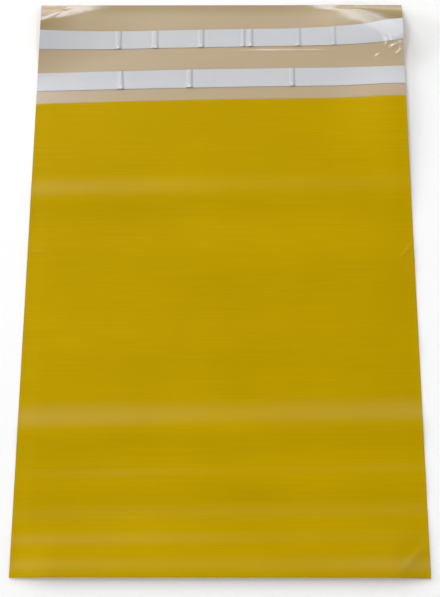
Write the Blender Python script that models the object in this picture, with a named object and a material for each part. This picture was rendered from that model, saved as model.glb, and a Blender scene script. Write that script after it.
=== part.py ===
"""Poly mailer bag with a double-strip flap, empty, lying flat on its back panel.

One sheet of co-extruded film is folded once at the bottom and welded along both sides, which
makes the pocket. Its back panel runs on past the mouth as the flap, with the beige inner face
up. Two strips of hot-melt adhesive cross the flap, each under its own release liner.

Units are metres. The bag lies on Z = 0, X runs across it, and Y runs from the bottom fold to
the end of the flap. The origin is under the middle of the bag.

Every piece is laid out in two coordinates of the flat sheet: x across it, and u along it from
the bottom fold. The film's own height above the table is one function of these two, and what
lies on the film takes its height from the film's facets.
"""
import math
from collections import namedtuple

import bmesh
import bpy
import numpy as np

# Cut sizes of the bag
BAG_WIDTH = 0.350
POCKET_LENGTH = 0.450
FILM_THICKNESS = 0.00007
SIDE_WELD = 0.003

# Layout of the flap, from the mouth to its end
MOUTH_MARGIN = 0.0135
STRIP_SPACING = 0.0245
END_MARGIN = 0.0275

# One adhesive strip and its release liner
ADHESIVE_WIDTH = 0.015
ADHESIVE_THICKNESS = 0.00008
LINER_OVERHANG = 0.0022
LINER_THICKNESS = 0.00006
SEAT_CLEARANCE = 0.0003

# The mouth and the strips run slightly askew to the bottom fold, and bow a little towards it
# at the sides
MOUTH_SKEW = math.radians(1.05)
MOUTH_BOW = 0.0013
SKEW_RUN_IN = 0.060

# The two panels of the empty pocket lie almost face to face
PANEL_GAP = 0.0003

# Soft crosswise ripples that both panels share: where the crest lies, how far the ripple
# reaches on either side, its height at the left and right edge, and how far the front panel
# stands off the back panel at the middle of the crest
Ripple = namedtuple("Ripple", "crest reach left right puff")
RIPPLES = (
    Ripple(crest=0.044, reach=0.022, left=0.0006, right=0.0005, puff=0.0004),
    Ripple(crest=0.081, reach=0.022, left=0.0004, right=0.0006, puff=0.0005),
    Ripple(crest=0.130, reach=0.028, left=0.0018, right=0.0012, puff=0.0006),
    Ripple(crest=0.202, reach=0.034, left=0.0003, right=0.0005, puff=0.0007),
    Ripple(crest=0.290, reach=0.036, left=0.0006, right=0.0010, puff=0.0008),
    Ripple(crest=0.350, reach=0.027, left=0.0022, right=0.0008, puff=0.0007),
)

# The bottom fold springs up a little, and less at its two corners
FOLD_LIFT = 0.0045
FOLD_LIFT_REACH = 0.032
FOLD_CORNER_DROP = 0.75
FOLD_CORNER_REACH = 0.035

# The right side stands off the table beside the mouth
SIDE_LIFT = 0.0048
SIDE_LIFT_INWARD = 0.075
SIDE_LIFT_DOWN = 0.150
SIDE_LIFT_UP = 0.060

# Both corners of the flap are bent up. Each has a ridge that is highest at the side edge. Its
# crest leaves that edge at a distance from the flap's end and slants towards the end, and
# beyond the crest the sheet falls back to the table. Film draws in where it is raised: by
# DRAW_IN times the height, as a share of its distance from the middle.
Corner = namedtuple("Corner", "side height from_end slope inward near_reach far_reach")
RIGHT_CORNER = Corner(side=1, height=0.0165, from_end=0.024, slope=0.20, inward=0.125,
                      near_reach=0.058, far_reach=0.024)
LEFT_CORNER = Corner(side=-1, height=0.0088, from_end=0.020, slope=0.20, inward=0.110,
                     near_reach=0.044, far_reach=0.024)
DRAW_IN = 0.63

# A soft ridge runs slantwise over the right corner: where it meets the flap's end and the side
# edge, as distances from the corner, and its height and reach
RIDGE_ON_END = 0.0525
RIDGE_ON_SIDE = 0.0385
RIDGE_HEIGHT = 0.0020
RIDGE_REACH = 0.0140

# Short tunnels where a liner has buckled away from its adhesive, as distances from the middle
BUCKLE_WIDTH = 0.006
BUCKLE_HEIGHT = 0.0010
LOWER_BUCKLES = (-0.0955, -0.0300, 0.0675)
UPPER_BUCKLES = (-0.0990, -0.0635, -0.0195, 0.0210, 0.0280, 0.0740, 0.1080)

# Mesh spacing
ROW_PITCH = 0.0095
STRIP_ROW_PITCH = 0.0064
HALF_COLUMNS = 10
FOLD_STEPS = 3

# Lengths and places that follow from the sizes above
LINER_WIDTH = ADHESIVE_WIDTH + 2 * LINER_OVERHANG
LOWER_LINER = (POCKET_LENGTH + MOUTH_MARGIN, POCKET_LENGTH + MOUTH_MARGIN + LINER_WIDTH)
UPPER_LINER = (LOWER_LINER[1] + STRIP_SPACING, LOWER_LINER[1] + STRIP_SPACING + LINER_WIDTH)
LOWER_ADHESIVE = (LOWER_LINER[0] + LINER_OVERHANG, LOWER_LINER[1] - LINER_OVERHANG)
UPPER_ADHESIVE = (UPPER_LINER[0] + LINER_OVERHANG, UPPER_LINER[1] - LINER_OVERHANG)
BAG_LENGTH = UPPER_LINER[1] + END_MARGIN
HALF_WIDTH = BAG_WIDTH / 2


def linear_colour(hex_code):
    """Turn an sRGB hex colour into linear red, green and blue, with alpha 1."""
    channels = [int(hex_code[i:i + 2], 16) / 255 for i in (1, 3, 5)]
    linear = [c / 12.92 if c <= 0.04045 else ((c + 0.055) / 1.055) ** 2.4 for c in channels]
    return (*linear, 1.0)


def make_material(name, hex_code, roughness, metallic=0.0):
    """A Principled material with one colour, roughness and metallic value."""
    material = bpy.data.materials.new(name)
    material.use_nodes = True
    shader = material.node_tree.nodes["Principled BSDF"]
    shader.inputs["Base Color"].default_value = linear_colour(hex_code)
    shader.inputs["Roughness"].default_value = roughness
    shader.inputs["Metallic"].default_value = metallic
    material.diffuse_color = linear_colour(hex_code)
    return material


def bump(distance, reach):
    """A raised cosine: 1 at distance 0, and exactly 0 from one reach away on."""
    ratio = np.clip(np.abs(distance) / reach, 0.0, 1.0)
    return 0.5 + 0.5 * np.cos(np.pi * ratio)


def two_sided_bump(distance, reach_before, reach_after):
    """A raised cosine that reaches less far on one side of its crest than on the other."""
    return np.where(distance < 0, bump(distance, reach_before), bump(distance, reach_after))


def relief(x, u):
    """Height of the film's underside: ripples, lifted edges, bent corners and the slant ridge.

    Each form has a limited reach, so between them the back panel lies truly flat on the table.
    """
    across = (x + HALF_WIDTH) / BAG_WIDTH
    from_side = HALF_WIDTH - np.abs(x)
    fold_lift = FOLD_LIFT * (1 - FOLD_CORNER_DROP * bump(from_side, FOLD_CORNER_REACH))
    height = fold_lift * bump(u, FOLD_LIFT_REACH)
    for ripple in RIPPLES:
        crest_height = ripple.left + (ripple.right - ripple.left) * across
        height = height + crest_height * bump(u - ripple.crest, ripple.reach)
    beside_mouth = two_sided_bump(u - POCKET_LENGTH, SIDE_LIFT_DOWN, SIDE_LIFT_UP)
    height = height + SIDE_LIFT * bump(HALF_WIDTH - x, SIDE_LIFT_INWARD) * beside_mouth
    for corner in (RIGHT_CORNER, LEFT_CORNER):
        inward = HALF_WIDTH - corner.side * x
        crest = BAG_LENGTH - corner.from_end + corner.slope * inward
        along = two_sided_bump(u - crest, corner.near_reach, corner.far_reach)
        height = height + corner.height * np.clip(1 - inward / corner.inward, 0, 1) ** 2 * along
    from_corner = (HALF_WIDTH - x) / RIDGE_ON_END + (BAG_LENGTH - u) / RIDGE_ON_SIDE
    scale = RIDGE_ON_END * RIDGE_ON_SIDE / math.hypot(RIDGE_ON_END, RIDGE_ON_SIDE)
    return height + RIDGE_HEIGHT * bump((from_corner - 1) * scale, RIDGE_REACH)


def panel_gap(x, u):
    """Space between the two panels: nothing at the side welds, a little more at each ripple."""
    gap = np.full(np.broadcast(x, u).shape, PANEL_GAP)
    middle = bump(x, HALF_WIDTH - SIDE_WELD)
    for ripple in RIPPLES:
        gap = gap + ripple.puff * middle * bump(u - ripple.crest, ripple.reach)
    return np.where(np.abs(x) > HALF_WIDTH - SIDE_WELD - 1e-6, 0.0, gap)


def skew_share(u):
    """How much of the mouth's skew holds at u: none at the bottom fold and the flap's end."""
    return np.interp(u, (0.0, SKEW_RUN_IN, UPPER_LINER[1], BAG_LENGTH), (0.0, 1.0, 1.0, 0.0))


def place(x, u, z):
    """Turn sheet coordinates and a height into points in space, as an array of triples."""
    shift = x * math.tan(MOUTH_SKEW) - MOUTH_BOW * (x / HALF_WIDTH) ** 2
    along = u + shift * skew_share(u) - BAG_LENGTH / 2
    return np.stack(np.broadcast_arrays(x * (1 - DRAW_IN * z), along, z), axis=-1)


def evenly(start, end, pitch):
    """Positions from start to end, evenly spaced, at most about one pitch apart."""
    return np.linspace(start, end, max(2, math.ceil((end - start) / pitch) + 1))


def sheet_columns():
    """Column positions across the film: the two welds, and between them closer to the sides."""
    steps = np.arange(-HALF_COLUMNS, HALF_COLUMNS + 1) / HALF_COLUMNS
    inner = (HALF_WIDTH - SIDE_WELD) * np.sin(steps * math.pi / 2)
    return np.concatenate(([-HALF_WIDTH], inner, [HALF_WIDTH]))


def sheet_rows():
    """Row positions along the pocket and the flap, with a row at each edge of every strip."""
    pocket = evenly(0.0, POCKET_LENGTH, ROW_PITCH)
    edges = (*LOWER_LINER, *LOWER_ADHESIVE, *UPPER_LINER, *UPPER_ADHESIVE)
    stops = (POCKET_LENGTH, *sorted(edges), BAG_LENGTH)
    flap = [evenly(a, b, STRIP_ROW_PITCH)[1:] for a, b in zip(stops, stops[1:])]
    return pocket, np.concatenate([pocket[-1:], *flap])


def facet_height(x, u):
    """Height of the film's underside facets at (x, u), between the film's own grid points."""
    columns = sheet_columns()
    pocket, flap = sheet_rows()
    rows = np.concatenate((pocket, flap[1:]))
    heights = relief(columns[None, :], rows[:, None])
    at_row = np.stack([np.interp(u, rows, heights[:, i]) for i in range(len(columns))], axis=-1)
    return np.array([np.interp(x, columns, line) for line in at_row])


def add_points(bm, points):
    """Add a grid of points to the mesh and return its vertices, row by row."""
    return [[bm.verts.new(point) for point in row] for row in points]


def stitch(bm, first, second):
    """Join two equally long lines of vertices with quads, or triangles where they meet."""
    for corners in zip(first, first[1:], second[1:], second):
        distinct = list(dict.fromkeys(corners))
        if len(distinct) > 2:
            bm.faces.new(distinct)


def stitch_rows(bm, rows):
    """Join each row of vertices to the next one."""
    for first, second in zip(rows, rows[1:]):
        stitch(bm, first, second)


def finish_object(name, bm, *materials):
    """Turn a closed bmesh into an object with outward faces and smooth shading."""
    bmesh.ops.recalc_face_normals(bm, faces=bm.faces)
    bmesh.ops.triangulate(bm, faces=bm.faces, quad_method="FIXED")
    mesh = bpy.data.meshes.new(name)
    bm.to_mesh(mesh)
    bm.free()
    for material in materials:
        mesh.materials.append(material)
    mesh.shade_smooth()
    mesh.set_sharp_from_angle(angle=math.radians(30))
    obj = bpy.data.objects.new(name, mesh)
    bpy.context.scene.collection.objects.link(obj)
    return obj


def make_bag_film(outer_film, inner_film):
    """The folded and welded sheet, as one closed skin.

    Four grids make it: the underside, the inner face of the back panel and flap, the inner
    face of the front panel, and the front panel's outer face. The two inner faces share their
    points along the welds, so the pocket closes there and stays open at the mouth.
    """
    columns = sheet_columns()
    pocket, flap = sheet_rows()
    panels = relief(columns[None, :], pocket[:, None])
    gaps = panel_gap(columns[None, :], pocket[:, None])
    fold_radius = FILM_THICKNESS + gaps[0] / 2
    along = np.repeat(pocket[:, None], len(columns), axis=1)
    along[0] = fold_radius

    bm = bmesh.new()
    under = add_points(bm, place(columns, along, panels))
    floor = add_points(bm, place(columns, along, panels + FILM_THICKNESS))
    ceiling = add_points(bm, place(columns, along, panels + FILM_THICKNESS + gaps))
    for lower_row, upper_row in zip(floor, ceiling):
        upper_row[:2] = lower_row[:2]
        upper_row[-2:] = lower_row[-2:]
    top = add_points(bm, place(columns, along, panels + 2 * FILM_THICKNESS + gaps))
    flap_heights = relief(columns[None, :], flap[1:, None])
    flap_under = add_points(bm, place(columns, flap[1:, None], flap_heights))
    flap_top = add_points(bm, place(columns, flap[1:, None], flap_heights + FILM_THICKNESS))

    stitch_rows(bm, under + flap_under)
    outer_faces = len(bm.faces)
    stitch_rows(bm, [floor[-1]] + flap_top)
    stitch_rows(bm, [row[1:-1] for row in floor])
    stitch_rows(bm, [row[1:-1] for row in ceiling])
    stitch(bm, floor[0][1:-1], ceiling[0][1:-1])
    inner_faces = len(bm.faces)
    stitch_rows(bm, top)
    stitch(bm, ceiling[-1], top[-1])
    stitch(bm, flap_under[-1], flap_top[-1])

    fold = [under[0]]
    middle = panels[0] + fold_radius
    for step in range(1, FOLD_STEPS):
        angle = math.pi * step / FOLD_STEPS
        reach = fold_radius * (1 - math.sin(angle))
        fold.append(add_points(bm, [place(columns, reach, middle - fold_radius * math.cos(angle))])[0])
    fold.append(top[0])
    stitch_rows(bm, fold)

    for side in (0, -1):
        bm.faces.new([line[side] for line in fold])
        stitch(bm, [row[side] for row in under[:-1]], [row[side] for row in top[:-1]])
        bm.faces.new([under[-2][side], under[-1][side], floor[-1][side]])
        bm.faces.new([under[-2][side], floor[-1][side], top[-1][side], top[-2][side]])
        stitch(bm, [row[side] for row in [under[-1]] + flap_under],
               [row[side] for row in [floor[-1]] + flap_top])

    bm.faces.ensure_lookup_table()
    for face in bm.faces[outer_faces:inner_faces]:
        face.material_index = 1
    bmesh.ops.delete(bm, geom=[v for v in bm.verts if not v.link_faces], context="VERTS")
    return finish_object("bag_film", bm, outer_film, inner_film)


def strip_columns(buckles):
    """Column positions of a strip: the film's own, and extra ones over each buckle."""
    columns = list(sheet_columns())
    for centre in buckles:
        columns = [x for x in columns if abs(x - centre) > BUCKLE_WIDTH / 2 + 1e-4]
        columns += [centre + BUCKLE_WIDTH * share for share in (-0.5, -0.25, 0, 0.25, 0.5)]
    return np.array(sorted(columns))


def make_strip(name, edges, clearance, thickness, buckles, material):
    """A strip lying across the flap, which follows the film's facets and its own buckles."""
    columns = strip_columns(buckles)
    film_rows = sheet_rows()[1]
    rows = film_rows[(film_rows > edges[0] - 1e-6) & (film_rows < edges[1] + 1e-6)]
    bottom = facet_height(columns, rows) + FILM_THICKNESS + clearance
    for centre in buckles:
        bottom = bottom + BUCKLE_HEIGHT * bump(columns - centre, BUCKLE_WIDTH / 2)
    bm = bmesh.new()
    lower = add_points(bm, place(columns[None, :], rows[:, None], bottom))
    upper = add_points(bm, place(columns[None, :], rows[:, None], bottom + thickness))
    stitch_rows(bm, lower)
    stitch_rows(bm, upper)
    for end in (0, -1):
        stitch(bm, lower[end], upper[end])
        stitch(bm, [row[end] for row in lower], [row[end] for row in upper])
    return finish_object(name, bm, material)


def make_closure(level, adhesive_edges, liner_edges, buckles, adhesive, liner):
    """One adhesive strip on the flap and the release liner that covers it."""
    liner_clearance = 2 * SEAT_CLEARANCE + ADHESIVE_THICKNESS
    make_strip(f"adhesive_strip_{level}", adhesive_edges, SEAT_CLEARANCE,
               ADHESIVE_THICKNESS, (), adhesive)
    make_strip(f"release_liner_{level}", liner_edges, liner_clearance,
               LINER_THICKNESS, buckles, liner)


def main():
    for obj in list(bpy.data.objects):
        bpy.data.objects.remove(obj, do_unlink=True)
    outer_film = make_material("mustard_film", "#BA9902", roughness=0.38)
    inner_film = make_material("beige_film", "#BDA98A", roughness=0.36)
    adhesive = make_material("hot_melt_adhesive", "#D9CDA8", roughness=0.25)
    liner = make_material("silicone_liner", "#D6D6DA", roughness=0.45)
    make_bag_film(outer_film, inner_film)
    make_closure("lower", LOWER_ADHESIVE, LOWER_LINER, LOWER_BUCKLES, adhesive, liner)
    make_closure("upper", UPPER_ADHESIVE, UPPER_LINER, UPPER_BUCKLES, adhesive, liner)


main()
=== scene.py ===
# %% [markdown]
# # A poly mailer bag
#
# An empty mailing bag lies flat on a table. It is one sheet of mustard yellow film, beige on
# its inner face, folded at the bottom and welded along both sides. The back panel runs on past
# the mouth as an open flap, and two white release liners cross it, each over a strip of glue.
#
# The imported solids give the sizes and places. This script dresses them: it makes the film and
# the strips again as fine surfaces, with the small ripples and creases that thin film has, and
# gives every surface the finish of the real material.

import math
from collections import namedtuple

import bpy
import numpy as np
from mathutils import Matrix, Vector


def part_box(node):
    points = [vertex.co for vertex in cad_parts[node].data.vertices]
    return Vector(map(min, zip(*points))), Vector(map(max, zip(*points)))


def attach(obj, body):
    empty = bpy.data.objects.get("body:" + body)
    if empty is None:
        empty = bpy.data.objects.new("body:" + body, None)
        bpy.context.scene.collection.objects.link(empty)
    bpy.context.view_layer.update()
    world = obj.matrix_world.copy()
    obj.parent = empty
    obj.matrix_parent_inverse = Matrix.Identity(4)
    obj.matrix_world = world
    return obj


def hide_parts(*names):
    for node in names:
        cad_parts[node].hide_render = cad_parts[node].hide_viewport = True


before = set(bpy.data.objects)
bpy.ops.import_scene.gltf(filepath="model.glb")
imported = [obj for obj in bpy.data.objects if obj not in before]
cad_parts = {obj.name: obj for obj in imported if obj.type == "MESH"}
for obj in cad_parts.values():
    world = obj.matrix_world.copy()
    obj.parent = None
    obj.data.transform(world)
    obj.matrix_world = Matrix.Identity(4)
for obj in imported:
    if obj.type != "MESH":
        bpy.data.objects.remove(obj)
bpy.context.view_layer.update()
film_low, film_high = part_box("bag_film")
BAG_WIDTH = film_high[0] - film_low[0]
BAG_LENGTH = round(film_high[1] - film_low[1], 4)
HALF_WIDTH = BAG_WIDTH / 2
print(f"bag {BAG_WIDTH * 1000:.0f} x {BAG_LENGTH * 1000:.0f} mm, "
      f"{film_high[2] * 1000:.1f} mm high at its bent corner")

# %% [markdown]
# ## The camera
#
# The bag was seen from above its bottom fold, a little over a metre away. The view is tilted
# about 21 degrees from straight down, so the far end of the bag looks narrower. A long lens
# keeps that narrowing mild. The place and tilt were worked out from the bag's own outline.

# %% Camera
CAMERA_PLACE = (0.0089, -0.4694, 1.1492)
CAMERA_TURN = tuple(math.radians(angle) for angle in (20.99, 0.405, 0.161))
CAMERA_LENS = 83.05
SENSOR_WIDTH = 36.0

camera_data = bpy.data.cameras.new("camera")
camera_data.lens = CAMERA_LENS
camera_data.sensor_width = SENSOR_WIDTH
camera = bpy.data.objects.new("camera", camera_data)
camera.location = CAMERA_PLACE
camera.rotation_euler = CAMERA_TURN
bpy.context.scene.collection.objects.link(camera)
bpy.context.scene.camera = camera
bpy.context.scene.view_settings.view_transform = "Standard"
print(f"camera {math.dist(CAMERA_PLACE, (0, 0, 0)):.2f} m from the middle of the bag")

# %% [markdown]
# ## Sizes along the sheet
#
# The sheet is laid out flat first: x runs across it and u runs along it, from 0 at the bottom
# fold to the bag's length at the flap's end. These sizes, in metres, are those of the solids.
# The mouth is at the pocket's length, and everything beyond it lies on the flap.

# %% Sizes along the sheet
POCKET_LENGTH = 0.450
FILM_THICKNESS = 0.00007
SIDE_WELD = 0.003
MOUTH_MARGIN = 0.0135
STRIP_SPACING = 0.0245
ADHESIVE_WIDTH = 0.015
LINER_OVERHANG = 0.0022

LINER_WIDTH = ADHESIVE_WIDTH + 2 * LINER_OVERHANG
LOWER_LINER = (POCKET_LENGTH + MOUTH_MARGIN, POCKET_LENGTH + MOUTH_MARGIN + LINER_WIDTH)
UPPER_LINER = (LOWER_LINER[1] + STRIP_SPACING, LOWER_LINER[1] + STRIP_SPACING + LINER_WIDTH)
print(f"flap {(BAG_LENGTH - POCKET_LENGTH) * 1000:.0f} mm long, "
      f"liners {LINER_WIDTH * 1000:.0f} mm wide")

# %% [markdown]
# ## The large forms of the film
#
# The sheet's height above the table is one function of x and u. Its large forms are those of
# the solids: ripples from side to side, some of them with a crisp crest, a bottom fold that
# springs up a little, a right side that stands off the table beside the mouth, two bent
# corners at the flap's end, and a slant ridge across the right one. The ripples and the left
# corner are lower than in the solids, because light on thin film shows less height well. A
# cloth simulation would give other folds than this bag has, so each form is placed as a raised
# cosine.


# %% Raised cosines
def bump(distance, reach):
    """A raised cosine: 1 at distance 0, and 0 from one reach away on."""
    ratio = np.clip(np.abs(distance) / reach, 0.0, 1.0)
    return 0.5 + 0.5 * np.cos(np.pi * ratio)


def two_sided_bump(distance, reach_before, reach_after):
    """A raised cosine whose reach differs before and after its crest."""
    return np.where(distance < 0, bump(distance, reach_before), bump(distance, reach_after))


print("a bump at its crest, halfway down and at its foot:",
      bump(np.array((0.0, 0.5, 1.0)), 1.0).round(2).tolist())

# %% Ripples
# left and right: the crest's height at the two sides. puff: how much it parts the panels.
# crisp: the share of the sharp profile in its far side.
Ripple = namedtuple("Ripple", "crest reach left right puff crisp")
RIPPLES = (
    Ripple(crest=0.041, reach=0.022, left=0.0004, right=0.0003, puff=0.0003, crisp=0.4),
    Ripple(crest=0.081, reach=0.022, left=0.0003, right=0.0004, puff=0.0004, crisp=0.3),
    Ripple(crest=0.129, reach=0.028, left=0.0010, right=0.0008, puff=0.0004, crisp=0.6),
    Ripple(crest=0.202, reach=0.034, left=0.0003, right=0.0004, puff=0.0005, crisp=0.0),
    Ripple(crest=0.290, reach=0.036, left=0.0004, right=0.0006, puff=0.0006, crisp=0.0),
    Ripple(crest=0.352, reach=0.027, left=0.0013, right=0.0004, puff=0.0004, crisp=0.4),
)
CRISP_REACH = 0.85


def ripple_profile(distance, ripple):
    """A ripple from crest to foot: a raised cosine, blended beyond the crest with (1 - d)^2.

    The blend bends sharply at the crest, as film does where it has once been folded over.
    """
    soft = bump(distance, ripple.reach)
    crisp = np.clip(1 - distance / (CRISP_REACH * ripple.reach), 0, 1) ** 2
    return soft + ripple.crisp * np.where(distance > 0, crisp - soft, 0.0)


print(f"{len(RIPPLES)} ripples, up to {max(r.left for r in RIPPLES) * 1000:.1f} mm high")

# %% Bent corners and the slant ridge
# from_end and slope: the crest's way to the flap's end at the side, and how it slants inwards.
# inward, near_reach and far_reach: how far the corner's lift reaches across and along.
Corner = namedtuple("Corner", "side height from_end slope inward near_reach far_reach")
CORNERS = (
    Corner(side=1, height=0.0165, from_end=0.024, slope=0.20, inward=0.125,
           near_reach=0.058, far_reach=0.024),
    Corner(side=-1, height=0.0076, from_end=0.020, slope=0.20, inward=0.110,
           near_reach=0.060, far_reach=0.024),
)
RIDGE_ON_END, RIDGE_ON_SIDE = 0.0525, 0.0385
RIDGE_HEIGHT = 0.0020
RIDGE_REACH = 0.0140


def from_ridge(x, u):
    """Distance to the slant ridge of the right corner, negative between it and the corner.

    The ridge meets the flap's end at a, and the side at b, from the corner. With e the way to
    the side and f the way to the end, that is (e / a + f / b - 1) times a b / sqrt(a^2 + b^2).
    """
    scale = RIDGE_ON_END * RIDGE_ON_SIDE / math.hypot(RIDGE_ON_END, RIDGE_ON_SIDE)
    return ((HALF_WIDTH - x) / RIDGE_ON_END + (BAG_LENGTH - u) / RIDGE_ON_SIDE - 1) * scale


print(f"slant ridge {-from_ridge(HALF_WIDTH, BAG_LENGTH) * 1000:.0f} mm from the right corner")

# %% Height of the large forms
FOLD_LIFT, FOLD_REACH = 0.0042, 0.055
FOLD_END_DROP, FOLD_END_REACH = 0.75, 0.035
SIDE_LIFT, SIDE_REACH = 0.0048, 0.075
SIDE_BEFORE_MOUTH, SIDE_BEYOND_MOUTH = 0.150, 0.060
RIDGE_END_DROP, RIDGE_END_REACH = 0.80, 0.012


def large_forms(x, u):
    """Height of the sheet: the sum of its large forms.

    Each form is its height times a raised cosine across it and, at the edges, along it. A
    ripple's height runs evenly from left to right, and a corner's falls off as (1 - d)^2 from
    the side. The fold drops towards the two sides, and the slant ridge towards the flap's end.
    """
    across = (x + HALF_WIDTH) / BAG_WIDTH
    fold_lift = FOLD_LIFT * (1 - FOLD_END_DROP * bump(HALF_WIDTH - np.abs(x), FOLD_END_REACH))
    height = fold_lift * bump(u, FOLD_REACH)
    for ripple in RIPPLES:
        crest_height = ripple.left + (ripple.right - ripple.left) * across
        height = height + crest_height * ripple_profile(u - ripple.crest, ripple)
    beside_mouth = two_sided_bump(u - POCKET_LENGTH, SIDE_BEFORE_MOUTH, SIDE_BEYOND_MOUTH)
    height = height + SIDE_LIFT * bump(HALF_WIDTH - x, SIDE_REACH) * beside_mouth
    for corner in CORNERS:
        inward = HALF_WIDTH - corner.side * x
        crest = BAG_LENGTH - corner.from_end + corner.slope * inward
        along = two_sided_bump(u - crest, corner.near_reach, corner.far_reach)
        height = height + corner.height * np.clip(1 - inward / corner.inward, 0, 1) ** 2 * along
    ridge = RIDGE_HEIGHT * (1 - RIDGE_END_DROP * bump(BAG_LENGTH - u, RIDGE_END_REACH))
    return height + ridge * bump(from_ridge(x, u), RIDGE_REACH)


print(f"fold {large_forms(0.0, 0.0) * 1000:.1f} mm off the table in its middle, right side "
      f"{large_forms(HALF_WIDTH, POCKET_LENGTH) * 1000:.1f} mm at the mouth")

# %% Gap between the panels
PANEL_GAP = 0.0003
WELD_RAMP = 0.014


def panel_gap(x, u):
    """Space between front and back panel: nothing at the welds, more at the ripples' crests.

    Over the ramp beside a weld the gap grows as 1 minus a raised cosine.
    """
    middle = bump(x, HALF_WIDTH - SIDE_WELD)
    gap = np.full(np.broadcast(x, u).shape, PANEL_GAP)
    for ripple in RIPPLES:
        gap = gap + ripple.puff * middle * bump(u - ripple.crest, ripple.reach)
    from_weld = HALF_WIDTH - SIDE_WELD - np.abs(x)
    return gap * (1 - bump(np.maximum(from_weld, 0.0), WELD_RAMP))


widest = max(float(panel_gap(0.0, ripple.crest)) for ripple in RIPPLES)
print(f"panels up to {widest * 1000:.2f} mm apart")

# %% [markdown]
# ## The small forms of the film
#
# Blown film keeps a memory of the roll it came off: faint bands that run across the bag, up to
# a tenth of a millimetre high. They are what makes its satin shine look streaky. Where the bag
# was handled it also has short sharp creases, most of them near the two bent corners. Both are
# added to the height function, as waves whose strength drifts and whose lines bend from side
# to side, and as narrow rounded ridges. A crease stays low for its width, or it shines too hard.

# %% Faint bands
BAND_PITCHES = (0.009, 0.013, 0.017, 0.024, 0.033, 0.047)
BAND_STEEPNESS = 0.007
BAND_STRENGTH, BAND_FADE, FADE_PERIOD = 0.6, 0.4, 0.31
BAND_BEND, BEND_PERIOD = 0.9, 0.42
rng = np.random.default_rng(12)
band_phases = rng.uniform(0, 2 * np.pi, (len(BAND_PITCHES), 3))


def bands(x, u):
    """Sum of crosswise waves, each (1 + cos) / 2 of u over its pitch, bent and faded along x."""
    total = 0.0
    for pitch, (along, bend, fade) in zip(BAND_PITCHES, band_phases):
        strength = BAND_STRENGTH + BAND_FADE * np.cos(2 * np.pi * x / FADE_PERIOD + fade)
        bent = BAND_BEND * np.sin(2 * np.pi * x / BEND_PERIOD + bend)
        angle = 2 * np.pi * u / pitch + along + bent
        height = BAND_STEEPNESS * pitch / np.pi
        total = total + height * strength * (0.5 + 0.5 * np.cos(angle))
    return total


print(f"bands up to {BAND_STEEPNESS * max(BAND_PITCHES) / math.pi * 1000:.2f} mm high")

# %% Creases
Crease = namedtuple("Crease", "start end width height")
CREASES = (
    # Between the strips, in the middle of the flap.
    Crease(start=(-0.010, 0.5030), end=(0.118, 0.5020), width=0.0018, height=0.00030),
    Crease(start=(0.072, 0.5030), end=(0.112, 0.5010), width=0.0016, height=0.00030),
    # Between and across the strips, at the right side.
    Crease(start=(0.1540, 0.5100), end=(0.1715, 0.5044), width=0.0024, height=0.00060),
    Crease(start=(0.1605, 0.5145), end=(0.1675, 0.5045), width=0.0022, height=0.00032),
    Crease(start=(0.1590, 0.5008), end=(0.1740, 0.5050), width=0.0024, height=0.00052),
    Crease(start=(0.1465, 0.4950), end=(0.1570, 0.4874), width=0.0022, height=0.00036),
    Crease(start=(0.1465, 0.4932), end=(0.1540, 0.4970), width=0.0020, height=0.00046),
    Crease(start=(0.1735, 0.4830), end=(0.1722, 0.5110), width=0.0026, height=0.00030),
    Crease(start=(0.1545, 0.5150), end=(0.1625, 0.5068), width=0.0020, height=0.00026),
    Crease(start=(0.1640, 0.5120), end=(0.1735, 0.5072), width=0.0020, height=0.00044),
    Crease(start=(0.1560, 0.5005), end=(0.1610, 0.5110), width=0.0020, height=0.00022),
    Crease(start=(0.1655, 0.4930), end=(0.1735, 0.4990), width=0.0020, height=0.00040),
    # In the left corner, and at the flap's end beside it.
    Crease(start=(-0.1740, 0.5355), end=(-0.1480, 0.5540), width=0.0050, height=0.00045),
    Crease(start=(-0.1720, 0.5372), end=(-0.1500, 0.5585), width=0.0020, height=0.00018),
    Crease(start=(-0.1700, 0.5400), end=(-0.1380, 0.5525), width=0.0020, height=0.00018),
    Crease(start=(-0.1620, 0.5460), end=(-0.1360, 0.5600), width=0.0020, height=0.00018),
    Crease(start=(-0.1560, 0.5430), end=(-0.1330, 0.5500), width=0.0018, height=0.00014),
    Crease(start=(-0.1390, 0.5582), end=(-0.1260, 0.5432), width=0.0030, height=0.00022),
    Crease(start=(-0.088, 0.5570), end=(-0.066, 0.5520), width=0.0016, height=0.00030),
    # At the pocket's two sides, and across its bottom right corner.
    Crease(start=(0.158, 0.2800), end=(0.177, 0.3040), width=0.0024, height=0.00032),
    Crease(start=(0.160, 0.2960), end=(0.176, 0.2900), width=0.0020, height=0.00026),
    Crease(start=(-0.175, 0.3000), end=(-0.158, 0.2960), width=0.0020, height=0.00040),
    Crease(start=(0.140, -0.004), end=(0.180, 0.0340), width=0.0050, height=0.00060),
)


def crease_profile(x, u, crease):
    """1 on the middle of a crease's line: a raised cosine along it, times one away from it."""
    (x0, u0), (x1, u1) = crease.start, crease.end
    length = math.dist(crease.start, crease.end)
    along = ((x - x0) * (x1 - x0) + (u - u0) * (u1 - u0)) / length
    aside = ((u - u0) * (x1 - x0) - (x - x0) * (u1 - u0)) / length
    return bump(along - length / 2, length / 2) * bump(aside, crease.width)


def creases(x, u):
    """Sum of narrow ridges: each crease's height times its profile."""
    return sum(crease.height * crease_profile(x, u, crease) for crease in CREASES)


print(f"{len(CREASES)} creases, up to {max(c.height for c in CREASES) * 1000:.1f} mm high")


# %% Height of the film
def film_height(x, u):
    """Height of the film's underside above the table."""
    return large_forms(x, u) + bands(x, u) + creases(x, u)


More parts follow.
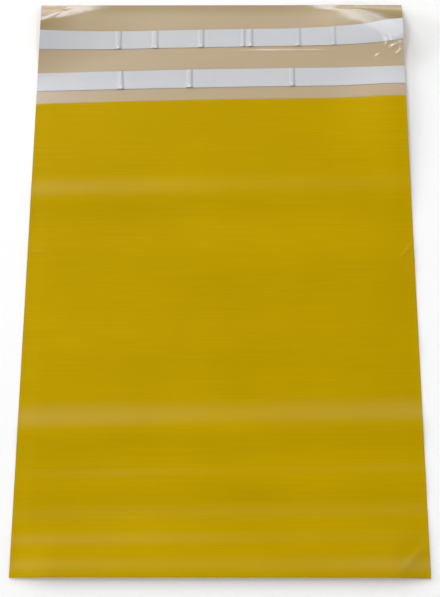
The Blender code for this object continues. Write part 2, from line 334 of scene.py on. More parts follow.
sample_x, sample_u = np.meshgrid(np.linspace(-0.17, 0.17, 69), np.linspace(0.005, 0.55, 545))
step_height = np.diff(film_height(sample_x, sample_u), axis=0) / np.diff(sample_u, axis=0)
steepest = math.degrees(math.atan(abs(step_height).max()))
print(f"steepest slope along the sheet {steepest:.1f} degrees")

# %% [markdown]
# ## From the flat sheet into space
#
# The mouth and the strips run slightly askew to the bottom fold, in a slight bow. So u is
# shifted by x times the tangent of that angle, less the bow, in full over most of the sheet
# and not at all at its two ends. Film does not stretch, so where the sheet rises it also
# draws in from the sides, and back from the flap's end, by a share of its height.

# %% Place points in space
MOUTH_SKEW = math.radians(1.05)
MOUTH_BOW = 0.0013
SKEW_RUN_IN = 0.060
DRAW_IN = 0.63
PULL_BACK, PULL_REACH = 0.55, 0.010


def place(x, u, z):
    """Points in space: x drawn in, u shifted, pulled back and centred, and z as the height."""
    share = np.interp(u, (0.0, SKEW_RUN_IN, UPPER_LINER[1], BAG_LENGTH), (0.0, 1.0, 1.0, 0.0))
    shift = x * math.tan(MOUTH_SKEW) - MOUTH_BOW * (x / HALF_WIDTH) ** 2
    pulled_back = PULL_BACK * z * bump(BAG_LENGTH - u, PULL_REACH)
    along = u + shift * share - pulled_back - BAG_LENGTH / 2
    return np.stack(np.broadcast_arrays(x * (1 - DRAW_IN * z), along, z), axis=-1)


print(f"the mouth rises {BAG_WIDTH * math.tan(MOUTH_SKEW) * 1000:.1f} mm from left to right")

# %% [markdown]
# ## From points to a mesh
#
# A grid of points becomes a surface when each square of four neighbours becomes a face. The
# order of the four decides which way the face points, so a downward face is the flipped one.
# Edges between two grids are closed with a wall of quads that uses the points of both.


# %% Quads of a grid
def grid_quads(index):
    """Quads of a grid of point numbers, counter-clockwise when x and u grow right and up."""
    corners = (index[:-1, :-1], index[:-1, 1:], index[1:, 1:], index[1:, :-1])
    return np.stack(corners, axis=-1).reshape(-1, 4)


def flipped(quads):
    """The same quads facing the other way, split along the same diagonals."""
    return quads[:, (0, 3, 2, 1)]


def wall_quads(lower, upper):
    """Quads between two lines of point numbers."""
    return grid_quads(np.stack((lower, upper)))


print("a grid of 2 x 3 points has the quads", grid_quads(np.arange(6).reshape(2, 3)).tolist())

# %% Mesh objects and values on their points
SHARP_EDGE = math.radians(40)


def make_mesh_object(name, points, faces, materials, material_of_face=None):
    """An object at the origin from an array of points and lists of faces, shaded smooth."""
    mesh = bpy.data.meshes.new(name)
    mesh.from_pydata(points.reshape(-1, 3).tolist(), [], faces)
    for material in materials:
        mesh.materials.append(material)
    if material_of_face is not None:
        mesh.polygons.foreach_set("material_index", material_of_face)
    mesh.shade_smooth()
    mesh.set_sharp_from_angle(angle=SHARP_EDGE)
    obj = bpy.data.objects.new(name, mesh)
    bpy.context.scene.collection.objects.link(obj)
    return obj


def store_on_points(obj, name, values):
    """Store one value per point under a name that a material's Attribute node can read."""
    attribute = obj.data.attributes.new(name, "FLOAT", "POINT")
    attribute.data.foreach_set("value", values)


# %% [markdown]
# ## Colours and a helper for materials
#
# Colours are picked as the eye sees them, as sRGB hex values, and turned to the linear values
# that the renderer works with. One helper adds a node with its settings and its links.


# %% Colour and node helpers
def linear(hex_code):
    """An sRGB hex colour as linear red, green, blue and alpha 1."""
    channels = np.array([int(hex_code[i:i + 2], 16) / 255 for i in (1, 3, 5)])
    low, high = channels / 12.92, ((channels + 0.055) / 1.055) ** 2.4
    return (*np.where(channels <= 0.04045, low, high).tolist(), 1.0)


def add_node(tree, kind, inputs=None, **settings):
    """Add a shader node, with its settings, and fill its inputs with values or other sockets."""
    node = tree.nodes.new("ShaderNode" + kind)
    for name, value in settings.items():
        setattr(node, name, value)
    for name, value in (inputs or {}).items():
        if isinstance(value, bpy.types.NodeSocket):
            tree.links.new(value, node.inputs[name])
        else:
            node.inputs[name].default_value = value
    return node


def new_material(name):
    """An empty node material, with its tree and its shader node."""
    material = bpy.data.materials.new(name)
    material.use_nodes = True
    return material, material.node_tree, material.node_tree.nodes["Principled BSDF"]


# A Mix node has sockets for every kind of data. These are the numbers of those for colours.
MIX_SHARE, MIX_FIRST, MIX_SECOND, MIX_RESULT = 0, 6, 7, 2
print("mid grey #808080 is", round(linear("#808080")[0], 3), "in linear light")

# %% [markdown]
# ## Film
#
# The bag is blown polyethylene film of two layers. Blowing and winding leave fine lines across
# the bag and a faint orange peel, and pigment that is not quite even. That gives the eye a
# satin surface with a soft, streaky shine. The lines are noise stretched along x. The yellow
# outer layer is the rougher one, and the beige inner layer is smooth and mirrors the sky.
#
# Three values on the film's points change its looks from place to place. "raised" mixes in a
# darker olive, painted shade, where the flap stands off the table and along its end. A second
# value mixes in a pale colour, a painted highlight on the ripples and creases. "matt" makes it
# rougher beyond the slant ridge.

# %% Film colour
STREAK_SCALE = (11.0, 650.0, 11.0)  # per metre: lines 90 mm long and 1.5 mm apart
CLOUD_SCALE = 9.0  # pigment uneven over 110 mm
# The colour of the painted highlight on the pocket's ripples and on the creases.
HIGHLIGHT_COLOUR = "#F6F0E2"


def film_colour(tree, coordinates, streaks, colours):
    """Colour socket: three film colours and a painted highlight, mixed by noise and by the points.

    colours: the usual one, the one of thinner streaks, and a darker olive painted as shade.
    """
    cloud = add_node(tree, "TexNoise", {"Vector": coordinates, "Scale": CLOUD_SCALE,
                                        "Detail": 3.0})
    mixed = add_node(tree, "Math", {0: streaks, 1: cloud.outputs["Fac"]}, operation="ADD")
    pigment = add_node(tree, "MapRange", {"Value": mixed.outputs["Value"], "From Min": 0.7,
                                          "From Max": 1.3})
    blend = add_node(tree, "Mix", {MIX_SHARE: pigment.outputs["Result"],
                                   MIX_FIRST: linear(colours[0]),
                                   MIX_SECOND: linear(colours[1])}, data_type="RGBA")
    # Painted shade: a darker olive, mixed in by the points' "raised" value.
    raised = add_node(tree, "Attribute", attribute_name="raised")
    olive_painted_shade = add_node(tree, "Mix", {MIX_SHARE: raised.outputs["Fac"],
                                    MIX_FIRST: blend.outputs[MIX_RESULT],
                                    MIX_SECOND: linear(colours[2])}, data_type="RGBA")
    # Painted highlight: a pale colour, mixed in by a value on the points, most in the streaks.
    painted_highlight = add_node(tree, "Attribute", attribute_name="painted_highlight")
    highlight_in_streaks = add_node(tree, "Math", {0: painted_highlight.outputs["Fac"], 1: streaks},
                       operation="MULTIPLY")
    highlighted = add_node(tree, "Mix", {MIX_SHARE: highlight_in_streaks.outputs["Value"],
                                   MIX_FIRST: olive_painted_shade.outputs[MIX_RESULT],
                                   MIX_SECOND: linear(HIGHLIGHT_COLOUR)}, data_type="RGBA")
    return highlighted.outputs[MIX_RESULT]


# %% Film relief and shine
PEEL_SCALE = 420.0  # orange peel of 2.4 mm, drawn that coarse so that it shows
PEEL_DEPTH, STREAK_DEPTH = 0.00003, 0.00006
SHINE_BELOW, SHINE_ABOVE = 0.03, 0.04
MATT_ROUGHNESS = 0.60


def film_relief(tree, coordinates, streaks, depth):
    """Normal socket: orange peel with the streaks over it, both as deep as the share depth."""
    peel = add_node(tree, "TexNoise", {"Vector": coordinates, "Scale": PEEL_SCALE,
                                       "Detail": 2.0})
    peel_bump = add_node(tree, "Bump", {"Height": peel.outputs["Fac"], "Strength": 0.4,
                                        "Distance": PEEL_DEPTH * depth})
    streak_bump = add_node(tree, "Bump", {"Height": streaks, "Strength": 0.5,
                                          "Distance": STREAK_DEPTH * depth,
                                          "Normal": peel_bump.outputs["Normal"]})
    return streak_bump.outputs["Normal"]


def film_roughness(tree, streaks, roughness):
    """Roughness socket: from a little below to a little above by streak, plus matt film's."""
    shine = add_node(tree, "MapRange", {"Value": streaks, "From Min": 0.3, "From Max": 0.7,
                                        "To Min": roughness - SHINE_BELOW,
                                        "To Max": roughness + SHINE_ABOVE})
    matt = add_node(tree, "Attribute", attribute_name="matt")
    rough = add_node(tree, "Math", {0: matt.outputs["Fac"], 1: MATT_ROUGHNESS,
                                    2: shine.outputs["Result"]}, operation="MULTIPLY_ADD")
    return rough.outputs["Value"]


# %% Film material
POLYETHYLENE_IOR = 1.51


def make_film_material(name, colours, roughness, gloss, gloss_colour, depth):
    """Blown polyethylene film: one stretched noise for its pigment, its shine and its relief.

    gloss: how strongly it mirrors, 0.5 being plain. depth: the share of the relief's depth.
    """
    material, tree, shader = new_material(name)
    coordinates = add_node(tree, "TexCoord").outputs["Object"]
    turned = add_node(tree, "Mapping", {"Vector": coordinates, "Rotation": (0, 0, -MOUTH_SKEW),
                                        "Scale": STREAK_SCALE})
    streaks = add_node(tree, "TexNoise", {"Vector": turned.outputs["Vector"], "Scale": 1.0,
                                          "Detail": 4.0, "Roughness": 0.6}).outputs["Fac"]
    colour = film_colour(tree, coordinates, streaks, colours)
    tree.links.new(colour, shader.inputs["Base Color"])
    tree.links.new(film_roughness(tree, streaks, roughness), shader.inputs["Roughness"])
    tree.links.new(film_relief(tree, coordinates, streaks, depth), shader.inputs["Normal"])
    shader.inputs["IOR"].default_value = POLYETHYLENE_IOR
    shader.inputs["Specular IOR Level"].default_value = gloss
    shader.inputs["Specular Tint"].default_value = linear(gloss_colour)
    return material


outer_film = make_film_material("yellow_blown_film", ("#C3A000", "#BA9700", "#C19E00"), 0.40,
                                gloss=0.08, gloss_colour="#FFF66E", depth=0.8)
inner_film = make_film_material("beige_blown_film", ("#C8B394", "#C6B18E", "#8B742A"), 0.17,
                                gloss=1.35, gloss_colour="#E8F0FF", depth=0.08)
print("film materials:", outer_film.name, inner_film.name)

# %% [markdown]
# ## Release liner and adhesive
#
# The liner is a white film with a silicone coat, so that it peels off the adhesive. It has a
# cool, milky white with a soft shine and fine lines along the strip. A greyer colour is painted
# as shade on the tunnels' steep flanks: the value "flank" on its points says where.
# The adhesive is a clear amber hot melt, smooth and glossy, coated from a nozzle that leaves
# faint lines. It is seen only inside the tunnels.

# %% Liner material
LINER_LINES = (20.0, 900.0, 20.0)  # per metre: lines 50 mm long and 1.1 mm apart
LINER_MOTTLE = 45.0  # cloudy over 22 mm
LINER_RELIEF = 0.00003


def make_liner_material():
    """Silicone-coated white film: fine lines along the strip and a faintly mottled white."""
    material, tree, shader = new_material("silicone_coated_liner")
    coordinates = add_node(tree, "TexCoord").outputs["Object"]
    turned = add_node(tree, "Mapping", {"Vector": coordinates, "Rotation": (0, 0, -MOUTH_SKEW),
                                        "Scale": LINER_LINES})
    lines = add_node(tree, "TexNoise", {"Vector": turned.outputs["Vector"], "Scale": 1.0,
                                        "Detail": 3.0})
    mottle = add_node(tree, "TexNoise", {"Vector": coordinates, "Scale": LINER_MOTTLE,
                                         "Detail": 3.0})
    blend = add_node(tree, "Mix", {MIX_SHARE: mottle.outputs["Fac"],
                                   MIX_FIRST: linear("#CCCDD1"),
                                   MIX_SECOND: linear("#D3D4D8")}, data_type="RGBA")
    # Painted shade: the tunnels' steep flanks get a greyer colour.
    flank = add_node(tree, "Attribute", attribute_name="flank")
    shaded = add_node(tree, "Mix", {MIX_SHARE: flank.outputs["Fac"],
                                    MIX_FIRST: blend.outputs[MIX_RESULT],
                                    MIX_SECOND: linear("#B8BABF")}, data_type="RGBA")
    tree.links.new(shaded.outputs[MIX_RESULT], shader.inputs["Base Color"])
    relief = add_node(tree, "Bump", {"Height": lines.outputs["Fac"], "Strength": 0.4,
                                     "Distance": LINER_RELIEF})
    tree.links.new(relief.outputs["Normal"], shader.inputs["Normal"])
    shader.inputs["Roughness"].default_value = 0.20
    shader.inputs["IOR"].default_value = 1.45
    shader.inputs["Specular IOR Level"].default_value = 0.65
    return material


liner_film = make_liner_material()
print("liner material:", liner_film.name)

# %% Adhesive material
GLUE_LINES = (30.0, 800.0, 30.0)  # per metre: lines 33 mm long and 1.3 mm apart
GLUE_RELIEF = 0.00004


def make_adhesive_material():
    """Pressure-sensitive hot melt: pale amber with faint lines from the coating nozzle."""
    material, tree, shader = new_material("coated_hot_melt")
    coordinates = add_node(tree, "TexCoord").outputs["Object"]
    stretched = add_node(tree, "Mapping", {"Vector": coordinates, "Scale": GLUE_LINES})
    lines = add_node(tree, "TexNoise", {"Vector": stretched.outputs["Vector"], "Scale": 1.0})
    blend = add_node(tree, "Mix", {MIX_SHARE: lines.outputs["Fac"],
                                   MIX_FIRST: linear("#C9B68A"),
                                   MIX_SECOND: linear("#D6C79E")}, data_type="RGBA")
    tree.links.new(blend.outputs[MIX_RESULT], shader.inputs["Base Color"])
    relief = add_node(tree, "Bump", {"Height": lines.outputs["Fac"], "Strength": 0.5,
                                     "Distance": GLUE_RELIEF})
    tree.links.new(relief.outputs["Normal"], shader.inputs["Normal"])
    shader.inputs["Roughness"].default_value = 0.22
    shader.inputs["IOR"].default_value = 1.48
    return material


hot_melt = make_adhesive_material()
print("adhesive material:", hot_melt.name)

# %% [markdown]
# ## The film
#
# The folded sheet is one closed skin of film thickness. Grids make it: the underside, the
# inner face of the back panel and flap, the inner face of the front panel, the front panel's
# outer face, and the turn of the bottom fold. The two inner faces share their points at the
# side welds, so the pocket is closed there and open at the mouth. Columns lie closer together
# towards the sides, and rows on the flap and across the pocket's creases. The right side,
# with the most creases, has the closest columns.

# %% Grid positions
LEFT_ZONE, RIGHT_ZONE = -0.125, 0.135
LEFT_PITCH, MIDDLE_PITCH, RIGHT_PITCH = 0.0016, 0.008, 0.0010
CREASED_ROWS = (0.278, 0.306)
POCKET_PITCH, CREASED_PITCH, FLAP_PITCH = 0.003, 0.0014, 0.0010


def even(start, end, pitch):
    """Positions from start to end, at most one pitch apart."""
    return np.linspace(start, end, math.ceil((end - start) / pitch) + 1)


inner_edge = HALF_WIDTH - SIDE_WELD
columns = np.concatenate((
    [-HALF_WIDTH],
    even(-inner_edge, LEFT_ZONE, LEFT_PITCH),
    even(LEFT_ZONE, RIGHT_ZONE, MIDDLE_PITCH)[1:],
    even(RIGHT_ZONE, inner_edge, RIGHT_PITCH)[1:],
    [HALF_WIDTH],
))
pocket_rows = np.concatenate((
    even(0.0, CREASED_ROWS[0], POCKET_PITCH),
    even(*CREASED_ROWS, CREASED_PITCH)[1:],
    even(CREASED_ROWS[1], POCKET_LENGTH, POCKET_PITCH)[1:],
))
flap_rows = even(POCKET_LENGTH, BAG_LENGTH, FLAP_PITCH)
print(f"{len(columns)} columns, {len(pocket_rows)} rows in the pocket, "
      f"{len(flap_rows)} on the flap")

# %% Points of the film
FOLD_STEPS = 6


def film_blocks():
    """The film's grids of points in space, from the table up, and the fold's last.

    The faces stack up as film, gap and film. The fold is a half circle: with r half of what
    lies between the two outer faces, u = r (1 - sin a) and z = back + r (1 - cos a). So the
    panels' first row lies at u = r.
    """
    back = film_height(columns[None, :], pocket_rows[:, None])
    gap = panel_gap(columns[None, :], pocket_rows[:, None])
    flap = film_height(columns[None, :], flap_rows[1:, None])
    radius = FILM_THICKNESS + gap[0] / 2
    along = np.repeat(pocket_rows[:, None], len(columns), axis=1)
    along[0] = radius
    angles = np.linspace(0, np.pi, FOLD_STEPS + 1)[1:-1, None]
    fold_along = radius * (1 - np.sin(angles))
    fold_height = back[0] + radius * (1 - np.cos(angles))
    return (
        place(columns, along, back),
        place(columns, flap_rows[1:, None], flap),
        place(columns, along, back + FILM_THICKNESS),
        place(columns, flap_rows[1:, None], flap + FILM_THICKNESS),
        place(columns, along, back + FILM_THICKNESS + gap),
        place(columns, along, back + 2 * FILM_THICKNESS + gap),
        place(columns, fold_along, fold_height),
    )


blocks = film_blocks()
film_points = np.concatenate([block.reshape(-1, 3) for block in blocks])
point_numbers = np.arange(len(film_points)).reshape(-1, len(columns))
block_starts = np.cumsum([0] + [len(block) for block in blocks])
print(f"{len(film_points)} points in {len(blocks)} grids")


# %% Faces of the film
def film_faces(under, flap_under, floor, flap_top, ceiling, top, fold):
    """Quads of the outer faces, quads of the inner faces, and the few faces that close the
    pocket's inner corners, the mouth's ends and the fold's ends.

    Each argument is one grid of point numbers. At the welds the ceiling takes the floor's.
    """
    ceiling[:, :2], ceiling[:, -2:] = floor[:, :2], floor[:, -2:]
    all_under = np.concatenate((under, flap_under))
    flap_upper = np.concatenate((floor[-1:], flap_top))
    around_fold = np.concatenate((under[:1], fold, top[:1]))
    outer = np.concatenate((
        flipped(grid_quads(all_under)),
        grid_quads(top),
        grid_quads(around_fold),
        wall_quads(under[:-1, -1], top[:-1, -1]),
        wall_quads(top[:-1, 0], under[:-1, 0]),
        wall_quads(np.append(under[-1:, -1], flap_under[:, -1]), flap_upper[:, -1]),
        wall_quads(flap_upper[:, 0], np.append(under[-1:, 0], flap_under[:, 0])),
        wall_quads(top[-1], ceiling[-1]),
        wall_quads(flap_upper[-1], all_under[-1]),
    ))
    inner = np.concatenate((
        grid_quads(flap_upper),
        grid_quads(floor[:, 1:-1]),
        flipped(grid_quads(ceiling[:, 1:-1])),
        wall_quads(ceiling[0, 2:-2], floor[0, 2:-2]),
    ))
    closing = (
        (floor[0, 1], ceiling[0, 2], floor[0, 2]),
        (floor[0, -2], floor[0, -3], ceiling[0, -3]),
        (under[-2, -1], under[-1, -1], floor[-1, -1], top[-1, -1], top[-2, -1]),
        (under[-2, 0], top[-2, 0], top[-1, 0], floor[-1, 0], under[-1, 0]),
        around_fold[:, 0],
        around_fold[::-1, -1],
    )
    return outer.tolist(), inner.tolist(), [[int(number) for number in face] for face in closing]


outer_faces, inner_faces, closing_faces = film_faces(
    *(point_numbers[start:end] for start, end in zip(block_starts, block_starts[1:])))
faces = outer_faces + inner_faces + closing_faces
inside = np.zeros(len(faces), dtype=np.int32)
inside[len(outer_faces):len(outer_faces) + len(inner_faces)] = 1
film = make_mesh_object("bag_film_sheet", film_points, faces, (outer_film, inner_film), inside)
print(f"film: {len(film.data.polygons)} faces")

# %% [markdown]
# ## Painted highlight, painted shade and matt film
#
# Six bands of painted highlight cross the pocket, on the ripples and beside the fold, and every
# crease has a little painted highlight too. A band's strength is given at five places from side
# to side. On the flap's beige face a darker olive is painted as shade where it stands off the
# table, and the beige is darker olive along the flap's end too. The slant ridge's far side,
# which leans away from the light, does not shine.

# %% Painted highlight bands
HighlightBand = namedtuple("HighlightBand", "centre before after strengths")
HIGHLIGHT_BANDS = (
    HighlightBand(centre=0.0110, before=0.009, after=0.009, strengths=(0.60, 0.40, 0.35, 0.40, 0.70)),
    HighlightBand(centre=0.0330, before=0.007, after=0.008, strengths=(0.60, 0.55, 0.30, 0.15, 0.10)),
    HighlightBand(centre=0.0560, before=0.010, after=0.010, strengths=(0.15, 0.20, 0.20, 0.20, 0.20)),
    HighlightBand(centre=0.0910, before=0.005, after=0.005, strengths=(0.10, 0.30, 0.08, 0.08, 0.20)),
    HighlightBand(centre=0.1400, before=0.011, after=0.018, strengths=(1.00, 0.80, 0.45, 0.55, 0.75)),
    HighlightBand(centre=0.3600, before=0.011, after=0.014, strengths=(0.80, 0.50, 0.15, 0.12, 0.10)),
)
STRENGTH_PLACES = np.linspace(-0.16, 0.16, 5)
HIGHLIGHT_SHARE = 0.09
FLAP_GLINT, POCKET_GLINT = 500, 60  # share of pale colour per metre of a crease's height


def painted_highlight_share(x, along):
    """Share of painted highlight: for each band, its strength across times a bump along, and for
    each crease its height times its profile."""
    shift = x * math.tan(MOUTH_SKEW) * np.interp(along, (0.0, SKEW_RUN_IN), (0.0, 1.0))
    u = along - shift
    total = 0.0
    for band in HIGHLIGHT_BANDS:
        across = np.interp(x, STRENGTH_PLACES, band.strengths)
        total = total + across * two_sided_bump(u - band.centre, band.before, band.after)
    glint = np.where(along > POCKET_LENGTH, FLAP_GLINT, POCKET_GLINT)
    return HIGHLIGHT_SHARE * total + glint * creases(x, u)


film_x, film_y, film_z = film_points.T
film_along = film_y + BAG_LENGTH / 2
# Painted highlight on the ripples' bands and on the creases.
pale = painted_highlight_share(film_x, film_along)
store_on_points(film, "painted_highlight", pale)
print(f"film up to {pale.max():.2f} pale")

# %% Film off the table, and beyond the ridge
CLEAR_OF_TABLE, OLIVE_RUN_IN = 0.003, 0.009
END_OLIVE, END_REACH = 0.35, 0.016
MATT_RUN_IN = 0.008

# Painted shade: the beige goes darker olive where the flap stands off the table, and along its
# end.
off_table = np.clip((film_z - CLEAR_OF_TABLE) / OLIVE_RUN_IN, 0, 1)
on_flap = np.clip((film_along - UPPER_LINER[0]) / LINER_WIDTH, 0, 1)
near_end = END_OLIVE * bump(film_y - BAG_LENGTH / 2, END_REACH)
store_on_points(film, "raised", np.clip(off_table * on_flap + near_end, 0, 1))

matt_share = np.clip(-from_ridge(film_x, film_along) / MATT_RUN_IN, 0, 1)
store_on_points(film, "matt", matt_share)
print(f"{(off_table * on_flap > 0).sum()} points off the table, "
      f"{(matt_share > 0).sum()} beyond the ridge")

# %% [markdown]
# ## The adhesive strips and their liners
#
# Both are thin strips from side to side of the flap. They take their height from the film, so
# they follow every ripple. A liner shrinks less than the film under it, so here and there it
# has buckled into a short tunnel across the strip. A tunnel has steep sides and a flat top,
# some are wider at one edge of the strip than at the other, and all open up at the lower edge.

# %% Tunnels of the liners
Tunnel = namedtuple("Tunnel", "place lower_width upper_width height")
LOWER_TUNNELS = (
    Tunnel(place=-0.0955, lower_width=0.0072, upper_width=0.0036, height=0.00029),
    Tunnel(place=-0.0300, lower_width=0.0064, upper_width=0.0058, height=0.00032),
    Tunnel(place=0.0675, lower_width=0.0056, upper_width=0.0056, height=0.00032),
)
UPPER_TUNNELS = (
    Tunnel(place=-0.0990, lower_width=0.0058, upper_width=0.0070, height=0.00026),
    Tunnel(place=-0.0635, lower_width=0.0066, upper_width=0.0060, height=0.00023),
    Tunnel(place=-0.0195, lower_width=0.0062, upper_width=0.0066, height=0.00029),
    Tunnel(place=0.0210, lower_width=0.0040, upper_width=0.0046, height=0.00021),
    Tunnel(place=0.0280, lower_width=0.0056, upper_width=0.0050, height=0.00026),
    Tunnel(place=0.0740, lower_width=0.0060, upper_width=0.0054, height=0.00021),
    Tunnel(place=0.1080, lower_width=0.0052, upper_width=0.0048, height=0.00018),
)
MOUTH_FLARE, FLARE_REACH = 1.8, 0.2


def tunnels(x, across, shapes):
    """Height of a liner off its adhesive: for each tunnel, h times (1 - d^4)^2 with d the
    distance from its middle line over half its width there, and more at the lower edge."""
    total = np.zeros(np.broadcast(x, across).shape)
    for tunnel in shapes:
        width = tunnel.lower_width + (tunnel.upper_width - tunnel.lower_width) * across
        ratio = np.clip(np.abs(x - tunnel.place) / (width / 2), 0.0, 1.0)
        total = total + tunnel.height * (1 - ratio ** 4) ** 2
    return total * (1 + MOUTH_FLARE * bump(across, FLARE_REACH))


print(f"{len(LOWER_TUNNELS)} tunnels in the lower liner and {len(UPPER_TUNNELS)} in the upper")

# %% Strips
COLUMN_PITCH, ROW_PITCH = 0.0007, 0.0016
STEEP_FLANK = 0.15


def make_strip(name, edges, base, thickness, shapes, material):
    """A closed thin strip over u from edges[0] to edges[1], its underside at film plus base.

    Its points store how steep its tunnels are there, as a share of a steep flank's slope.
    """
    x = even(-HALF_WIDTH, HALF_WIDTH, COLUMN_PITCH)[None, :]
    u = even(*edges, ROW_PITCH)[:, None]
    bulge = tunnels(x, (u - edges[0]) / (edges[1] - edges[0]), shapes)
    bottom = film_height(x, u) + FILM_THICKNESS + base + bulge
    points = np.concatenate((place(x, u, bottom), place(x, u, bottom + thickness)))
    low, high = np.arange(2 * bottom.size).reshape(2, *bottom.shape)
    quads = np.concatenate((
        flipped(grid_quads(low)),
        grid_quads(high),
        wall_quads(low[0], high[0]),
        wall_quads(high[-1], low[-1]),
        wall_quads(low[:, -1], high[:, -1]),
        wall_quads(high[:, 0], low[:, 0]),
    ))
    strip = make_mesh_object(name, points, quads.tolist(), (material,))
    slope = np.abs(np.gradient(bulge, x[0], axis=1))
    # The share greys the liner's colour there as painted shade.
    store_on_points(strip, "flank", np.tile(np.clip(slope / STEEP_FLANK, 0, 1).ravel(), 2))
    return strip


# %% Adhesive and liner of each closure
SEAT = 0.00010  # left free under each strip, so that two layers never cut into each other
ADHESIVE_THICKNESS = 0.00008
LINER_THICKNESS = 0.00006


def make_closure(level, liner_edges, shapes):
    """One adhesive strip and the liner over it, on the flap."""
    adhesive_edges = (liner_edges[0] + LINER_OVERHANG, liner_edges[1] - LINER_OVERHANG)
    glue = make_strip(f"adhesive_{level}", adhesive_edges, SEAT, ADHESIVE_THICKNESS, (), hot_melt)
    cover = make_strip(f"liner_{level}", liner_edges, 2 * SEAT + ADHESIVE_THICKNESS,
                       LINER_THICKNESS, shapes, liner_film)
    return glue, cover


glue_lower, liner_lower = make_closure("lower", LOWER_LINER, LOWER_TUNNELS)
glue_upper, liner_upper = make_closure("upper", UPPER_LINER, UPPER_TUNNELS)
print(f"liners: {len(liner_lower.data.polygons)} and {len(liner_upper.data.polygons)} faces")

# %% [markdown]
# ## Which solid each piece stands for
#
# Nothing on the bag moves on a joint, so every piece rides on the one body, and the solid it
# stands for is hidden. The film and the liners are sheets: the film's cut is both panels and the
# flap in one length.

# %% Ride and replace
PIECES = (
    (film, "bag_film", "film"),
    (glue_lower, "adhesive_strip_lower", "adhesive"),
    (liner_lower, "release_liner_lower", "liner"),
    (glue_upper, "adhesive_strip_upper", "adhesive"),
    (liner_upper, "release_liner_upper", "liner"),
)
for piece, node_name, slot_name in PIECES:
    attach(piece, "root")
    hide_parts(node_name)

print(f"cut sheet {BAG_WIDTH * 1000:.0f} x {(BAG_LENGTH + POCKET_LENGTH) * 1000:.0f} mm")

# %% [markdown]
# ## The floor
#
# A white table, matt so that it shows no highlight of its own. It keeps the bag's shadow. What
# is seen of it, straight or in a mirror, is lit up a little by itself, so that its open areas
# are white. Far from the bag it fades to plain white, and so no horizon shows in low views.

# %% Floor
FLOOR_HALF_SIZE, FLOOR_DROP = 6.0, 0.0003
GLOW_NEAR, GLOW_FAR = 0.10, 1.0
FADE_START, FADE_END = 1.0, 3.5


def make_floor_material():
    """White table: its glow is a smooth step of the distance from the middle, where seen."""
    material, tree, shader = new_material("white_table")
    shader.inputs["Base Color"].default_value = linear("#F7F7F7")
    shader.inputs["Roughness"].default_value = 0.9
    shader.inputs["Specular IOR Level"].default_value = 0.0
    shader.inputs["Emission Color"].default_value = linear("#FFFFFF")
    path = add_node(tree, "LightPath")
    seen = path.outputs["Is Camera Ray"]
    for kind in ("Is Glossy Ray", "Is Transmission Ray"):
        seen = add_node(tree, "Math", {0: seen, 1: path.outputs[kind]},
                        operation="MAXIMUM").outputs["Value"]
    coordinates = add_node(tree, "TexCoord").outputs["Object"]
    distance = add_node(tree, "VectorMath", {0: coordinates}, operation="LENGTH")
    white = add_node(tree, "MapRange", {"Value": distance.outputs["Value"],
                                        "From Min": FADE_START, "From Max": FADE_END,
                                        "To Min": GLOW_NEAR, "To Max": GLOW_FAR},
                     interpolation_type="SMOOTHSTEP")
    glow = add_node(tree, "Math", {0: seen, 1: white.outputs["Result"]}, operation="MULTIPLY")
    tree.links.new(glow.outputs["Value"], shader.inputs["Emission Strength"])
    return material


floor_corners = FLOOR_HALF_SIZE * np.array(((-1.0, -1.0), (1.0, -1.0), (1.0, 1.0), (-1.0, 1.0)))
floor_points = np.column_stack((floor_corners, np.full(4, -FLOOR_DROP)))
floor = make_mesh_object("floor", floor_points, [[0, 1, 2, 3]], (make_floor_material(),))
print(f"floor {2 * FLOOR_HALF_SIZE:.0f} m square")

# %% [markdown]
# ## The lights
#
# Satin film shows its ripples by what they mirror, so softboxes stand where chosen slopes
# mirror them to the eye, and the sky straight above stays dark. The long left strip shines on
# slopes that lean left, such as the right corner's, and the right strip on those that lean
# right. The back key and the back left box shine on the far slopes of the ripples. The low
# left and left side boxes give the shadows below the bag and to its right, and the front fill
# lifts them. A bright band of sky along the horizon gives raised edges something to mirror.

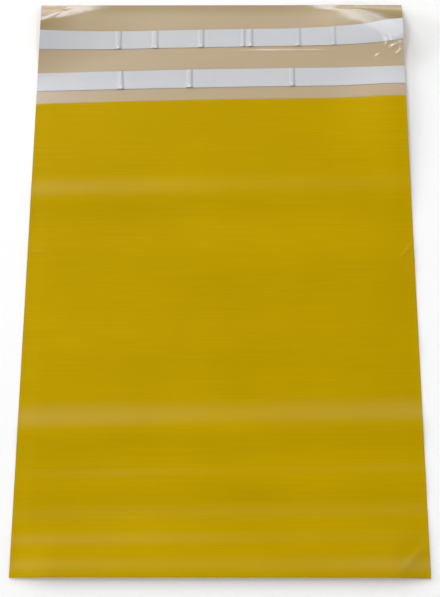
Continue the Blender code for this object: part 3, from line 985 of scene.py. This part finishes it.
# %% Softboxes
Softbox = namedtuple("Softbox", "name place width length turn power")
SOFTBOXES = (
    Softbox("left_strip", place=(-2.20, 1.10, 4.80), width=1.05, length=6.4, turn=-17, power=93.0),
    Softbox("back_key", place=(-0.35, 4.00, 2.85), width=1.5, length=1.7, turn=0, power=30.0),
    Softbox("back_left", place=(-2.90, 3.60, 3.60), width=2.4, length=1.6, turn=0, power=24.0),
    Softbox("low_left", place=(-2.70, 4.40, 1.60), width=3.2, length=1.4, turn=0, power=132.0),
    Softbox("left_side", place=(-4.80, 1.00, 1.36), width=1.6, length=1.6, turn=0, power=114.0),
    Softbox("front_fill", place=(2.80, -3.80, 3.20), width=2.9, length=2.9, turn=0, power=70.0),
    Softbox("right_strip", place=(2.60, 1.44, 4.60), width=0.80, length=3.0, turn=0, power=36.0),
)


def add_softbox(box):
    """A rectangular area light aimed at the middle of the bag, its length along the bag.

    Its axes come from two cross products: width from the bag's length and the light's
    direction, then length from direction and width. Its turn swings its length off the bag's.
    """
    data = bpy.data.lights.new(box.name, type="AREA")
    data.shape = "RECTANGLE"
    data.size = box.width
    data.size_y = box.length
    data.energy = box.power
    lamp = bpy.data.objects.new(box.name, data)
    back = Vector(box.place).normalized()
    turn = math.radians(box.turn)
    across = Vector((-math.sin(turn), math.cos(turn), 0.0)).cross(back).normalized()
    lamp.matrix_world = Matrix.Translation(box.place) @ Matrix(
        (across, back.cross(across), back)).transposed().to_4x4()
    bpy.context.scene.collection.objects.link(lamp)


for softbox in SOFTBOXES:
    add_softbox(softbox)
print(f"{len(SOFTBOXES)} softboxes, {sum(s.power for s in SOFTBOXES):.0f} W in all")

# %% Sky
BAND_TOP, SKY_START = 0.28, 0.42  # heights on a ball of radius 1
BAND_LIGHT, SKY_LIGHT = 1.0, 0.02

world = bpy.data.worlds.new("studio")
world.use_nodes = True
bpy.context.scene.world = world
world_tree = world.node_tree
direction = add_node(world_tree, "TexCoord")
parts = add_node(world_tree, "SeparateXYZ", {"Vector": direction.outputs["Generated"]})
sky = add_node(world_tree, "MapRange", {"Value": parts.outputs["Z"],
                                        "From Min": BAND_TOP, "From Max": SKY_START,
                                        "To Min": BAND_LIGHT, "To Max": SKY_LIGHT},
               interpolation_type="SMOOTHSTEP")
world_shader = world_tree.nodes["Background"]
world_shader.inputs["Color"].default_value = linear("#FFFFFF")
world_tree.links.new(sky.outputs["Result"], world_shader.inputs["Strength"])
print(f"bright sky up to {math.degrees(math.asin(BAND_TOP)):.0f} degrees, "
      f"dark from {math.degrees(math.asin(SKY_START)):.0f}")
